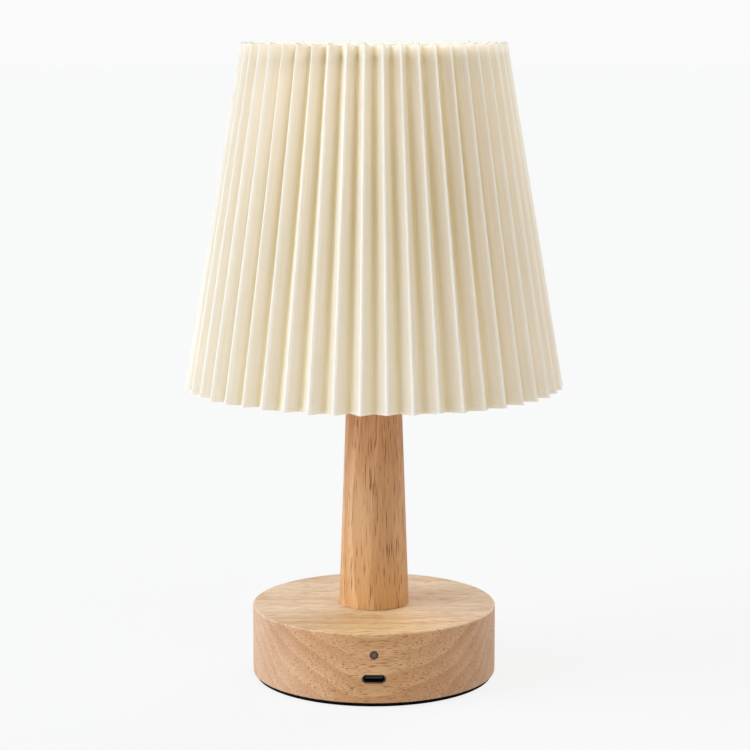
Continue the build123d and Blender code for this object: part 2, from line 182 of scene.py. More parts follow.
world = bpy.data.worlds.new("white_room")
bpy.context.scene.world = world
tree = bare_tree(world)
room = out(tree, "Background", {"Color": WARM, "Strength": ROOM_LIGHT})
backdrop = out(tree, "Background", {"Color": BACKGROUND, "Strength": 1.0})
both = mix_shaders(seen_by_camera(tree), room, backdrop)
add(tree, "OutputWorld", {"Surface": both})

suns = [
    soft_sun("left_window", azimuth=-77, height=29, strength=3.4, spread=54, tint=COOL),
    soft_sun("back_right_window", azimuth=146, height=28, strength=1.4, spread=44, tint=NEUTRAL),
    soft_sun("front_right_reflector", azimuth=36, height=38, strength=0.8, spread=60, tint=NEUTRAL),
]
bpy.context.scene.view_settings.view_transform = "Standard"
print("lamps:", [(lamp.name, round(lamp.data.energy, 2)) for lamp in suns])

# %% [markdown]
# The floor is a wide pale sheet. A camera ray sees mostly the background colour and a share of real
# light on it, so the floor melts into the backdrop and still keeps the lamp's shadow. From below it
# is clear, so that the underside of the lamp can be looked at.

# %% Lay the floor
FLOOR_RADIUS = 12
FLOOR_DROP = 0.0002
FLOOR_GREY = (0.7, 0.7, 0.7, 1)
FLOOR_GLOW = 1.012
SHADOW_SHARE = 0.14

bpy.ops.object.select_all(action="DESELECT")
bpy.ops.mesh.primitive_circle_add(
    vertices=64, radius=FLOOR_RADIUS, fill_type="NGON", location=(0, 0, -FLOOR_DROP)
)
floor = bpy.context.object
floor.name = "studio_floor"
bpy.ops.object.transform_apply()

paper = bpy.data.materials.new("floor_paper")
tree = bare_tree(paper)
matt = out(tree, "BsdfDiffuse", {"Color": FLOOR_GREY})
glow = out(tree, "Emission", {"Color": BACKGROUND, "Strength": FLOOR_GLOW})
share = sums("MULTIPLY", seen_by_camera(tree), 1 - SHADOW_SHARE)
front = mix_shaders(share, matt, glow)
clear = out(tree, "BsdfTransparent")
back = add(tree, "NewGeometry").outputs["Backfacing"]
sheet = mix_shaders(back, front, clear)
add(tree, "OutputMaterial", {"Surface": sheet})
floor.data.materials.append(paper)
print("floor faces:", len(floor.data.polygons))

# %% [markdown]
# ## Modelling helpers
#
# Every new piece starts as a primitive with nothing else selected, and its place is put into its
# mesh at once, so that edit mode works in the lamp's own frame. Faces, edges and vertices are then
# chosen by where they are, as one would click them by hand. A finished piece is shaded smooth up to
# a set angle, and its normals follow the larger faces, so that a small bevel doesn't make the wall
# beside it look bent.

# %% Helpers for modelling
def only(piece):
    bpy.ops.object.select_all(action="DESELECT")
    piece.select_set(True)
    bpy.context.view_layer.objects.active = piece


def start(primitive, **settings):
    bpy.ops.object.select_all(action="DESELECT")
    primitive(**settings)
    bpy.ops.object.transform_apply(location=True, rotation=True, scale=True)
    return bpy.context.object


def edit(piece):
    only(piece)
    bpy.ops.object.mode_set(mode="EDIT")


def leave():
    bpy.ops.object.mode_set(mode="OBJECT")


def choose_all():
    bpy.ops.mesh.select_all(action="SELECT")


def choose(kind, test):
    bpy.ops.mesh.select_mode(type=kind)
    bpy.ops.mesh.select_all(action="DESELECT")
    mesh = bpy.context.object.data
    shape = bmesh.from_edit_mesh(mesh)
    parts = {"VERT": shape.verts, "EDGE": shape.edges, "FACE": shape.faces}[kind]
    found = [part for part in parts if test(part)]
    for part in found:
        part.select_set(True)
    shape.select_flush_mode()
    bmesh.update_edit_mesh(mesh)
    return len(found)


def near(first, second, slack=2e-5):
    return abs(first - second) < slack


def on_circle(radius, height):
    return lambda edge: all(
        near(v.co.z, height) and near(math.hypot(v.co.x, v.co.y), radius) for v in edge.verts
    )


def flat_at(height, facing):
    return lambda face: near(face.calc_center_median().z, height) and face.normal.z * facing > 0.9


def round_edges(test, size, segments):
    found = choose("EDGE", test)
    bpy.ops.mesh.bevel(offset=size, segments=segments, affect="EDGES")
    return found


def extrude(x=0.0, z=0.0):
    bpy.ops.mesh.extrude_region_move(TRANSFORM_OT_translate={"value": (x, 0, z)})


def apply(piece, kind, **settings):
    only(piece)
    tool = piece.modifiers.new(kind.lower(), kind)
    for name, value in settings.items():
        setattr(tool, name, value)
    bpy.ops.object.modifier_apply(modifier=tool.name)


def combine(piece, other, operation):
    apply(piece, "BOOLEAN", operation=operation, solver="EXACT", object=other)
    bpy.data.objects.remove(other)


replaced = set()


def settle(piece, name, body, stands_for, crease=30):
    only(piece)
    bpy.ops.object.shade_smooth_by_angle(angle=math.radians(crease))
    apply(piece, "WEIGHTED_NORMAL", keep_sharp=True)
    piece.name = name
    piece.data.name = name
    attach(piece, body)
    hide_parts(*stands_for)
    replaced.update(stands_for)
    print(name, "faces:", len(piece.data.polygons))


# %% [markdown]
# ## The turned base
#
# The base is one disc of pale hardwood, turned on a lathe and hollowed from below for the battery.
# A lathe profile could be spun, but a cylinder is quicker: its rims are bevelled to the small
# rounds that sandpaper leaves, and the chamber is pressed into its underside with inset and
# extrude.

# %% Turn the disc and hollow it
BASE_RADIUS = 0.04825
BASE_BOTTOM = 0.0016
BASE_TOP = 0.0288
REBATE_RADIUS = 0.04425
REBATE_TOP = 0.0036
CHAMBER_RADIUS = 0.04225
CHAMBER_TOP = 0.0238
TOP_ROUND = 0.0008
BOTTOM_ROUND = 0.0005


def upright_rod(radius, low, high, x=0.0, sides=96):
    return start(
        bpy.ops.mesh.primitive_cylinder_add,
        vertices=sides,
        radius=radius,
        depth=high - low,
        location=(x, 0, (low + high) / 2),
    )


base = upright_rod(BASE_RADIUS, BASE_BOTTOM, BASE_TOP, sides=256)
edit(base)
round_edges(on_circle(BASE_RADIUS, BASE_TOP), TOP_ROUND, 6)
round_edges(on_circle(BASE_RADIUS, BASE_BOTTOM), BOTTOM_ROUND, 4)
choose("FACE", flat_at(BASE_BOTTOM, -1))
bpy.ops.mesh.inset(thickness=BASE_RADIUS - BOTTOM_ROUND - REBATE_RADIUS)
extrude(z=REBATE_TOP - BASE_BOTTOM)
bpy.ops.mesh.inset(thickness=REBATE_RADIUS - CHAMBER_RADIUS)
extrude(z=CHAMBER_TOP - REBATE_TOP)
leave()
print("base faces so far:", len(base.data.polygons))

# %% [markdown]
# The holes are drilled with cutters, as a drill and a router would: the socket for the stem and the
# bore for its pipe from above, and a pocket, the charging slot and the button's hole at the front.
# The slot's cutter is a rod whose two halves are pulled apart, which gives it round ends.

# %% Drill the base
TENON_HOLE = 0.0086
TENON_DEPTH = 0.002
PIPE_HOLE = 0.0052
OVERSHOOT = 0.01
POCKET_WIDTH = 0.01294
POCKET_FACE = -0.04335
POCKET_BACK = -0.025
FRONT = -0.06
HOLE_END = -0.03
PORT_LEVEL = 0.01115
SLOT_HALF_HEIGHT = 0.00178
SOCKET_SPREAD = 0.00284
BUTTON_LEVEL = 0.0206
BUTTON_HOLE = 0.00165


def level_rod(radius, near_end, far_end, height, spread=0.0):
    rod = start(
        bpy.ops.mesh.primitive_cylinder_add,
        vertices=64,
        radius=radius,
        depth=far_end - near_end,
        location=(0, (near_end + far_end) / 2, height),
        rotation=(math.radians(90), 0, 0),
    )
    if spread:
        edit(rod)
        for side in (-1, 1):
            choose("VERT", lambda v: v.co.x * side > 1e-6)
            bpy.ops.transform.translate(value=(side * spread, 0, 0))
        leave()
    return rod


def block(low, high):
    size = [b - a for a, b in zip(low, high)]
    middle = [(a + b) / 2 for a, b in zip(low, high)]
    return start(bpy.ops.mesh.primitive_cube_add, size=1, location=middle, scale=size)


def cut(piece, cutter):
    combine(piece, cutter, "DIFFERENCE")


cut(base, upright_rod(TENON_HOLE, BASE_TOP - TENON_DEPTH, BASE_TOP + OVERSHOOT))
cut(base, upright_rod(PIPE_HOLE, CHAMBER_TOP - OVERSHOOT, BASE_TOP + OVERSHOOT))
pocket_low = (-POCKET_WIDTH / 2, POCKET_FACE, BASE_BOTTOM)
cut(base, block(pocket_low, (POCKET_WIDTH / 2, POCKET_BACK, CHAMBER_TOP)))
cut(base, level_rod(SLOT_HALF_HEIGHT, FRONT, HOLE_END, PORT_LEVEL, spread=SOCKET_SPREAD))
cut(base, level_rod(BUTTON_HOLE, FRONT, HOLE_END, BUTTON_LEVEL))
settle(base, "turned_base", "base", ["base_block"])

# %% [markdown]
# ## The stem
#
# The stem is a slim cone of a redder board, with its grain running upwards. A cone primitive has
# the right taper from the start. Its two edges are broken with a small bevel, its foot is pressed
# in and drawn down into the tenon that sits in the base, and a rod bores the way for the pipe.

# %% Turn the stem
STEM_FOOT = 0.01385
STEM_NECK = 0.01005
STEM_TOP = 0.136
STEM_ROUND = 0.0004
TENON_RADIUS = 0.0085
TENON_BOTTOM = 0.0268

stem = start(
    bpy.ops.mesh.primitive_cone_add,
    vertices=160,
    radius1=STEM_FOOT,
    radius2=STEM_NECK,
    depth=STEM_TOP - BASE_TOP,
    location=(0, 0, (STEM_TOP + BASE_TOP) / 2),
)
edit(stem)
round_edges(lambda e: near(e.verts[0].co.z, e.verts[1].co.z), STEM_ROUND, 3)
choose("FACE", flat_at(BASE_TOP, -1))
bpy.ops.mesh.inset(thickness=STEM_FOOT - STEM_ROUND - TENON_RADIUS)
extrude(z=TENON_BOTTOM - BASE_TOP)
leave()
cut(stem, upright_rod(PIPE_HOLE, TENON_BOTTOM - OVERSHOOT, STEM_TOP + OVERSHOOT))
settle(stem, "turned_stem", "base", ["stem"])

# %% [markdown]
# ## The wood
#
# Wood is rings round a pith, seen wherever the saw cut them. If the pith runs along the board,
# behind the base and below it, a flat top shows straight lines and a round side shows the nested
# smiles of the photograph. So the rings are worked out from the distance to that line, in the
# piece's own coordinates, and the cut does the rest. A picture of wood would stretch on the round
# side.
#
# Both woods share one group. Its rings are swayed and rippled a little, darken slowly and end at a
# sharp edge, and every year is darker or paler than the next.

# %% Build the wood group
SWAY = 14.0
RIPPLE = 0.6


def new_group(name, inputs, outputs):
    tree = bpy.data.node_groups.new(name, "ShaderNodeTree")
    for direction, sockets in (("INPUT", inputs), ("OUTPUT", outputs)):
        for label, kind in sockets.items():
            tree.interface.new_socket(label, in_out=direction, socket_type="NodeSocket" + kind)
    new = tree.nodes.new
    return tree, new("NodeGroupInput").outputs, new("NodeGroupOutput").inputs


def vectors(operation, first, second=(0, 0, 0)):
    node = add(first.id_data, "VectorMath", {0: first, 1: second}, operation=operation)
    return node.outputs["Value" if operation in ("LENGTH", "DISTANCE") else "Vector"]


def axes(place):
    return add(place.id_data, "SeparateXYZ", {"Vector": place}).outputs


def stretched_noise(place, along, across, detail=2.0, offset=0.0):
    tree = place.id_data
    stretch = {"Location": (offset, offset, offset), "Scale": (along, across, across)}
    stretched = out(tree, "Mapping", {"Vector": place, **stretch})
    sockets = {"Vector": stretched, "Scale": 1.0, "Detail": detail, "Roughness": 0.55}
    return out(tree, "TexNoise", sockets)


tree, given, made = new_group(
    "wood_figure",
    {
        "Grain Place": "Vector",
        "Pale": "Color",
        "Tan": "Color",
        "Vessel": "Color",
        "Ring Spacing": "Float",
        "Ring Strength": "Float",
        "Vessel Strength": "Float",
        "Vessel Length": "Float",
        "Vessel Fineness": "Float",
        "Vessel Cover": "Float",
    },
    {"Color": "Color", "Roughness": "Float", "Height": "Float"},
)
wood_group = tree
place = given["Grain Place"]
xyz = axes(place)
across_grain = out(tree, "CombineXYZ", {"Y": xyz["Y"], "Z": xyz["Z"]})
distance = vectors("LENGTH", across_grain)
sway = stretched_noise(place, along=0.018, across=0.035)
ripple = stretched_noise(place, along=0.06, across=0.22, offset=7.0)
distance = sums("ADD", distance, sums("MULTIPLY", sway, SWAY))
distance = sums("ADD", distance, sums("MULTIPLY", ripple, RIPPLE))
years = sums("DIVIDE", distance, given["Ring Spacing"])
rings = sums("FRACT", years)
year = sums("FLOOR", years)
mood = add(tree, "TexWhiteNoise", {"W": year}, noise_dimensions="1D").outputs["Value"]
ring_tone = sums("MULTIPLY", ramp(rings, 0.0, 0.8), ramp(rings, 1.0, 0.84))
ring_edge = sums("MULTIPLY", ramp(rings, 0.9, 0.97), ramp(rings, 1.0, 0.98))
ring_tone = sums("MULTIPLY_ADD", ring_edge, -0.7, ring_tone)
ring_tone = sums("MULTIPLY", ring_tone, sums("MULTIPLY_ADD", mood, 0.8, 0.4))
print("nodes in the wood group so far:", len(tree.nodes))

# %% [markdown]
# Fine fibres run along the grain, and between them lie the open vessels: short dark dashes on a
# long face and dots on an end face. Noise that is stretched along the grain gives both. The vessels
# are also duller than the wood round them, and a little deeper.

# %% Add fibres and vessels to the wood
VESSEL_EDGE = 0.14
SATIN = 0.44

fibre = stretched_noise(place, along=0.03, across=2.2, detail=3.0, offset=3.0)
cloud = stretched_noise(place, along=0.012, across=0.05, detail=1.0, offset=11.0)
along = sums("DIVIDE", 1.0, given["Vessel Length"])
finer = given["Vessel Fineness"]
stretch = out(tree, "CombineXYZ", {"X": along, "Y": finer, "Z": finer})
sockets = {"Vector": vectors("MULTIPLY", place, stretch), "Scale": 1.0, "Detail": 1.5}
vessel_noise = out(tree, "TexNoise", sockets)
early = sums("MULTIPLY_ADD", ring_tone, 0.03, given["Vessel Cover"])
vessel = ramp(vessel_noise, early, sums("ADD", early, VESSEL_EDGE))
vessel = sums("MULTIPLY", vessel, given["Vessel Strength"])

tone = sums("MULTIPLY", ring_tone, given["Ring Strength"])
tone = sums("ADD", tone, sums("MULTIPLY_ADD", fibre, 1.0, -0.5))
tone = sums("ADD", tone, sums("MULTIPLY_ADD", cloud, 1.2, -0.5))
tone = ramp(tone, -0.25, 0.85)
body_colour = blend(tone, given["Pale"], given["Tan"])
tree.links.new(blend(vessel, body_colour, given["Vessel"]), made["Color"])
satin = sums("MULTIPLY_ADD", fibre, 0.16, SATIN)
tree.links.new(sums("MULTIPLY_ADD", vessel, 0.15, satin), made["Roughness"])
depth = sums("MULTIPLY_ADD", vessel, -1.0, sums("MULTIPLY", fibre, 0.35))
tree.links.new(depth, made["Height"])
print("nodes in the wood group:", len(tree.nodes))

# %% [markdown]
# A finish is a material with the shader itself, fed by a group. For the base the grain runs along X
# and the pith lies behind and below. For the stem the grain is turned upright. The photograph also
# shows the wood more golden at the front of the base and at the foot of the stem, and redder at the
# stem's neck, so each finish multiplies in a tint or two, each round a middle point. The tint at
# the
# neck is darker too: it is painted shade, where the shade above keeps light off the stem. The
# base's round side is painted a little darker and pinker than its flat top, as painted shade on the
# side and painted light on the top. The stem is round side all the way up.

# %% Finish the base and the stem
TINT_SHARE = 0.75
SIDE_SHADE_FADE = 0.6
WOOD_SHEEN = 0.35
WOOD_RELIEF = 0.00006


def new_material(name):
    material = bpy.data.materials.new(name)
    tree = bare_tree(material)
    shader = add(tree, "BsdfPrincipled")
    add(tree, "OutputMaterial", {"Surface": shader.outputs[0]})
    return material, tree, shader


def in_millimetres(tree):
    place = add(tree, "TexCoord").outputs["Object"]
    return vectors("MULTIPLY", place, (1000, 1000, 1000))


def fill(node, **inputs):
    for label, value in inputs.items():
        wire_or_set(node.inputs[label.replace("_", " ")], value)
    return node.outputs


def use_group(tree, group, **inputs):
    return fill(add(tree, "Group", node_tree=group), **inputs)


def bump(shader, height, distance):
    sockets = {"Height": height, "Distance": distance, "Strength": 1.0}
    fill(shader, Normal=out(height.id_data, "Bump", sockets))


def wear(piece, material):
    piece.data.materials.clear()
    piece.data.materials.append(material)


def wood(name, turn, pith, tints, shaded_side_below, side, **figure):
    material, tree, shader = new_material(name)
    place = in_millimetres(tree)
    sockets = {"Vector": place, "Location": pith, "Rotation": turn}
    grain = out(tree, "Mapping", sockets)
    shown = use_group(tree, wood_group, Grain_Place=grain, **figure)
    colour = shown["Color"]
    for tint, middle, farthest in tints:
        away = vectors("DISTANCE", place, middle)
        share = sums("MULTIPLY", ramp(away, farthest, farthest * 0.2), TINT_SHARE)
        colour = blend(share, colour, tint, mode="MULTIPLY")
    # The round side below the flat top is painted darker and pinker, as painted shade, so the top
    # stays lighter as painted light.
    on_shaded_side = ramp(axes(place)["Z"], shaded_side_below, shaded_side_below - SIDE_SHADE_FADE)
    colour = blend(on_shaded_side, colour, side, mode="MULTIPLY")
    fill(shader, Base_Color=colour, Roughness=shown["Roughness"], Specular_IOR_Level=WOOD_SHEEN)
    bump(shader, shown["Height"], WOOD_RELIEF)
    return material


base_wood = wood(
    "pale_base_wood",
    turn=(0, math.radians(1.5), math.radians(-2)),
    pith=(0, -62, 70),
    tints=[(swatch(255, 240, 200), (0, -42, 22), 52)],
    # Painted shade on the round side of the base, darker and pinker than the flat top.
    shaded_side_below=28.7,
    side=swatch(241, 224, 216),
    Pale=swatch(220, 194, 164),
    Tan=swatch(196, 159, 123),
    Vessel=swatch(152, 100, 70),
    Ring_Spacing=5.6,
    Ring_Strength=0.46,
    Vessel_Strength=0.75,
    Vessel_Length=7.0,
    Vessel_Fineness=2.8,
    Vessel_Cover=0.53,
)
stem_wood = wood(
    "reddish_stem_wood",
    turn=(0, math.radians(90), 0),
    pith=(0, 30, 14),
    tints=[
        (swatch(255, 248, 226), (0, -8, 30), 40),
        # Painted shade: the neck under the shade is made darker and redder.
        (swatch(250, 232, 220), (0, -12, 112), 52),
    ],
    # The stem is all round side, so this faint painted side shade covers all of it.
    shaded_side_below=200.0,
    side=swatch(255, 254, 252),
    Pale=swatch(219, 174, 128),
    Tan=swatch(192, 140, 93),
    Vessel=swatch(140, 82, 46),
    Ring_Spacing=6.0,
    Ring_Strength=0.45,
    Vessel_Strength=0.9,
    Vessel_Length=12.0,
    Vessel_Fineness=2.4,
    Vessel_Cover=0.555,
)
wear(base, base_wood)
wear(stem, stem_wood)
print("finishes:", base_wood.name, stem_wood.name)

# %% [markdown]
# ## The pleated shade
#
# The shade is one long strip of stiff fabric, folded into 48 equal pleats and closed into a cone.
# Every face between two folds is equally wide, so the folds stand deeper at the narrow top. A cloth
# simulation can't keep such sharp folds. They are modelled as the folding machine makes them: a
# ring of 96 corners, with every second corner pulled in to a valley.

# %% Fold the strip
PLEATS = 48
HALF_PLEAT = math.pi / PLEATS
SHADE_BOTTOM = 0.1169
SHADE_TOP = 0.25
RIDGE_BOTTOM = 0.0743
RIDGE_TOP = 0.0513
VALLEY_BOTTOM = 0.06938
VALLEY_TOP = 0.04553
RIM_DIP = 0.0014


def fold_step(point):
    return math.atan2(point.x, -point.y) / HALF_PLEAT


def is_valley(vertex):
    return round(fold_step(vertex.co)) % 2 == 0


def pull_in(factor, height):
    bpy.ops.transform.resize(value=(factor, factor, 1), center_override=(0, 0, height))


shade = start(
    bpy.ops.mesh.primitive_circle_add,
    vertices=2 * PLEATS,
    radius=RIDGE_BOTTOM,
    location=(0, 0, SHADE_BOTTOM),
)
edit(shade)
valleys = choose("VERT", is_valley)
pull_in(VALLEY_BOTTOM / RIDGE_BOTTOM, SHADE_BOTTOM)
choose_all()
extrude(z=SHADE_TOP - SHADE_BOTTOM)
choose("VERT", lambda v: near(v.co.z, SHADE_TOP) and not is_valley(v))
pull_in(RIDGE_TOP / RIDGE_BOTTOM, SHADE_TOP)
choose("VERT", lambda v: near(v.co.z, SHADE_TOP) and is_valley(v))
pull_in(VALLEY_TOP / VALLEY_BOTTOM, SHADE_TOP)
bpy.ops.transform.translate(value=(0, 0, -RIM_DIP))
leave()
print("valleys:", valleys, "faces:", len(shade.data.polygons))

# %% [markdown]
# No two pleats of a real shade are quite alike, so every end of a fold is moved by up to a third of
# a millimetre, always in the same way because the seed is fixed. The folds are then cut into short
# lengths and rounded: tightly on the ridges, where the fabric is creased hard, and more softly in
# the valleys.

# %% Loosen and round the folds
LOOSENESS = 0.00035
FOLD_CUTS = 15
RIDGE_ROUND = 0.0004
VALLEY_ROUND = 0.0010
LEAST_RISE = 0.002
FOLD_SLACK = 0.25


def runs_upright(edge):
    first, second = edge.verts
    return abs(first.co.z - second.co.z) > LEAST_RISE


def along_fold(parity):
    def test(edge):
        steps = [fold_step(v.co) for v in edge.verts]
        near_fold = all(abs(step - round(step)) < FOLD_SLACK for step in steps)
        return runs_upright(edge) and near_fold and all(round(step) % 2 == parity for step in steps)

    return test


edit(shade)
choose_all()
bpy.ops.mesh.normals_make_consistent(inside=False)
bpy.ops.transform.vertex_random(offset=LOOSENESS, uniform=0.3, normal=0.0, seed=11)
choose("EDGE", runs_upright)
bpy.ops.mesh.subdivide(number_cuts=FOLD_CUTS)
ridges = round_edges(along_fold(1), RIDGE_ROUND, 3)
troughs = round_edges(along_fold(0), VALLEY_ROUND, 4)
leave()
print("ridge edges:", ridges, "valley edges:", troughs)

# %% [markdown]
# A narrow hem of doubled fabric runs round the lower edge. Two cuts close together keep its step
# crisp when the band below them is pushed out a little. Solidify then gives the fabric its
# thickness, inwards, so that the outside keeps its size. Such shades are backed with a white film,
# so Solidify gives its new inner faces and the cut edges the piece's second material.

# %% Hem the edge and give the fabric its thickness
HEM = 0.0013
HEM_STEP = 0.00015
FABRIC = 0.00045

edit(shade)
for height in (SHADE_BOTTOM + HEM, SHADE_BOTTOM + HEM + HEM_STEP):
    choose_all()
    bpy.ops.mesh.bisect(plane_co=(0, 0, height), plane_no=(0, 0, 1))
hem_faces = choose("FACE", lambda f: f.calc_center_median().z < SHADE_BOTTOM + HEM)
bpy.ops.transform.shrink_fatten(value=HEM_STEP)
leave()
for empty_slot in range(2):
    shade.data.materials.append(None)
apply(
    shade,
    "SOLIDIFY",
    thickness=FABRIC,
    offset=-1.0,
    use_even_offset=True,
    use_rim=True,
    material_offset=1,
    material_offset_rim=1,
)
settle(shade, "pleated_fabric", "shade", ["pleated_shade"], crease=42)
print("hem faces:", hem_faces)

# %% [markdown]
# The fabric's pattern has to follow the folds, so the strip is laid flat again in a UV map: one way
# round the shade, the other way up it. A second value, from 0 in a valley to 1 on a ridge, tells
# the shader where it is on a pleat.

# %% Lay the strip flat for its pattern
def unroll(piece):
    mesh = piece.data
    strip = mesh.uv_layers.new(name="strip")
    fold = mesh.attributes.new("fold", "FLOAT", "POINT")
    for vertex in mesh.vertices:
        step = fold_step(vertex.co)
        fold.data[vertex.index].value = abs((step + 1) % 2 - 1)
    for face in mesh.polygons:
        steps = [fold_step(mesh.vertices[i].co) for i in face.vertices]
        wraps = max(steps) - min(steps) > PLEATS
        for loop, step in zip(face.loop_indices, steps):
            turned = step + 2 * PLEATS if wraps and step < 0 else step
            height = mesh.vertices[mesh.loops[loop].vertex_index].co.z
            rise = (height - SHADE_BOTTOM) / (SHADE_TOP - SHADE_BOTTOM)
            strip.data[loop].uv = (turned / (2 * PLEATS) + 0.5, rise)


unroll(shade)
print("UV maps on the shade:", [layer.name for layer in shade.data.uv_layers])

# %% [markdown]
# ## The shade's fabric
#
# The fabric is ivory, with a fine weave. Threads are noise that is stretched along the strip and up
# it, mostly up it, and now and then a thicker thread makes a long pale or dark streak. An image of
# cloth would show where it repeats, and noise doesn't.

# %% Weave the fabric
STRIP_LENGTH = 652.8
STRIP_WIDTH = 135.1

fabric, tree, shader = new_material("ivory_pleat_fabric")
laid = out(tree, "UVMap", uv_map="strip")
laid = vectors("MULTIPLY", laid, (STRIP_LENGTH, STRIP_WIDTH, 1))
warp = stretched_noise(laid, along=3.4, across=0.16)
weft = stretched_noise(laid, along=0.2, across=3.4, offset=5.0)
threads = sums("ADD", sums("MULTIPLY", warp, 0.65), sums("MULTIPLY", weft, 0.35))
slub = stretched_noise(laid, along=1.6, across=0.03, offset=9.0)
print("strip in mm:", STRIP_LENGTH, "by", STRIP_WIDTH)

# %% [markdown]
# In the photograph the creases are nearly white, where the fabric is pressed and catches the light.
# The valleys are a warm yellow, more so towards the top where the folds lie close, because light
# there bounces from fold to fold and takes on more of the colour each time. Part of that comes from
# the render itself. The rest is put into the colour, by the place on the pleat: the white on the
# creases is partly a painted highlight, and the yellow in the valleys is painted shade and bounced
# light. The line of the hem and the cut upper edge are darker.

# %% Colour the fabric
LOW_VALLEY_SHADE = swatch(233, 215, 162)
HIGH_VALLEY_SHADE = swatch(213, 189, 110)
VALLEY_FADE = 90
PANEL = swatch(245, 232, 209)
CREASE_HIGHLIGHT = swatch(250, 248, 243)
FABRIC_RELIEF = 0.00005

fold = add(tree, "Attribute", attribute_name="fold").outputs["Fac"]
rise = axes(laid)["Y"]
# Painted shade and bounced light in the valleys, yellower towards the top.
valley_shade = blend(ramp(rise, 0, VALLEY_FADE), LOW_VALLEY_SHADE, HIGH_VALLEY_SHADE)
colour = blend(ramp(fold, 0.0, 0.5), valley_shade, PANEL)
# Painted highlight along the creases, partly the pressed fabric's own white.
colour = blend(ramp(fold, 0.74, 0.96), colour, CREASE_HIGHLIGHT)
hem_line = sums("MULTIPLY", ramp(rise, 1.1, 1.35), ramp(rise, 1.75, 1.5))
cut_edge = ramp(rise, STRIP_WIDTH - 0.7, STRIP_WIDTH - 0.3)
weave_tone = sums("MULTIPLY_ADD", threads, 0.14, 0.93)
weave_tone = sums("MULTIPLY_ADD", hem_line, -0.08, weave_tone)
weave_tone = sums("MULTIPLY_ADD", cut_edge, -0.35, weave_tone)
weave_tone = sums("ADD", weave_tone, sums("MULTIPLY_ADD", slub, 0.26, -0.13))
colour = blend(1.0, colour, weave_tone, mode="MULTIPLY")
fill(shader, Base_Color=colour, Roughness=0.85, Specular_IOR_Level=0.15)
bump(shader, threads, FABRIC_RELIEF)
shade.data.materials[0] = fabric
print("nodes in the fabric:", len(tree.nodes))

# %% [markdown]
# A lampshade lets light through. A Translucent shader mixed in carries the light from the other
# side. Glass would also let light pass, but would show what is behind it. The light that comes
# through is whiter than the fabric, as it crosses the white film.

# %% Let light through the fabric
LIGHT_SHARE = 0.48
WHITENING = 0.8
FILTERED_WHITE = swatch(252, 249, 247)


def let_light_through(material, share, colour):
    tree = material.node_tree
    output = next(node for node in tree.nodes if node.type == "OUTPUT_MATERIAL")
    surface = output.inputs["Surface"].links[0].from_socket
    through = out(tree, "BsdfTranslucent", {"Color": colour})
    fill(output, Surface=mix_shaders(share, surface, through))


let_light_through(fabric, LIGHT_SHARE, blend(WHITENING, colour, FILTERED_WHITE))
print("share of light that passes the fabric:", LIGHT_SHARE)

# %% [markdown]
# ## Moulded, painted and foamed surfaces
#
# Plastic, paint and foam all have a fine skin: a grain that the eye only notices in a highlight,
# and a slow change of tone from one side to the other. One group makes both, from noise in
# millimetres, and each finish sets the size of the grain and how strongly it shows.

# %% Build the skin group
GLOSS_CHANGE = 0.12

tree, given, made = new_group(
    "moulded_skin",
    {"Place": "Vector", "Grain Size": "Float", "Tone Change": "Float", "Gloss": "Float"},
    {"Tone": "Float", "Roughness": "Float", "Height": "Float"},
)
skin_group = tree
finer = sums("DIVIDE", 1.0, given["Grain Size"])
sockets = {"Vector": given["Place"], "Scale": finer, "Detail": 3.0}
grain = out(tree, "TexNoise", sockets)
sockets = {"Vector": given["Place"], "Scale": 0.07, "Detail": 2.0}
slow = out(tree, "TexNoise", sockets)
both = sums("ADD", sums("MULTIPLY", grain, 0.4), slow)
shift = sums("MULTIPLY", sums("SUBTRACT", both, 0.7), given["Tone Change"])
tree.links.new(sums("ADD", shift, 1.0), made["Tone"])
duller = sums("MULTIPLY", sums("SUBTRACT", grain, 0.5), GLOSS_CHANGE)
tree.links.new(sums("ADD", duller, given["Gloss"]), made["Roughness"])
tree.links.new(grain, made["Height"])
print("nodes in the skin group:", len(tree.nodes))

# %% [markdown]
# The plain finishes differ only in colour, grain, gloss and relief, so one function makes them all.
# They are kept under the names of the CAD model's own material slots.

# %% Make the plain finishes
def give_skin(shader, place, colour, grain, gloss, tone=0.06):
    skin = use_group(
        place.id_data, skin_group, Place=place, Grain_Size=grain, Tone_Change=tone, Gloss=gloss
    )
    toned = blend(1.0, colour, skin["Tone"], mode="MULTIPLY")
    fill(shader, Base_Color=toned, Roughness=skin["Roughness"])
    return skin["Height"]


def moulded(name, colour, grain, gloss, relief=0.00001, tone=0.06, metal=0.0, sheen=0.5):
    material, tree, shader = new_material(name)
    height = give_skin(shader, in_millimetres(tree), colour, grain, gloss, tone)
    fill(shader, Metallic=metal, Specular_IOR_Level=sheen)
    bump(shader, height, relief)
    return material


finishes = {
    "foam_pad": moulded(
        "black_foam", swatch(12, 11, 11), grain=0.5, gloss=0.9, relief=0.0002, tone=0.5, sheen=0.05
    ),
    "white_wire": moulded(
        "white_powder_coat", swatch(232, 231, 226), grain=0.9, gloss=0.32, relief=0.00003
    ),
    "white_plastic": moulded("white_moulding", swatch(224, 222, 215), grain=0.25, gloss=0.42),
    "black_plastic": moulded("black_moulding", swatch(26, 26, 27), grain=0.3, gloss=0.45, tone=0.3),
    "socket_plastic": moulded("ivory_socket", swatch(226, 218, 198), grain=0.3, gloss=0.45),
    "plated_steel": moulded(
        "zinc_plate", swatch(196, 196, 192), grain=0.6, gloss=0.33, tone=0.2, metal=1.0
    ),
    "foam_tape": moulded(
        "foam_tape_white", swatch(225, 224, 218), grain=0.3, gloss=0.9, relief=0.0001
    ),
    "cell_pouch": moulded(
        "foil_pouch", swatch(176, 178, 180), grain=2.5, gloss=0.36, relief=0.0001, metal=0.7
    ),
}
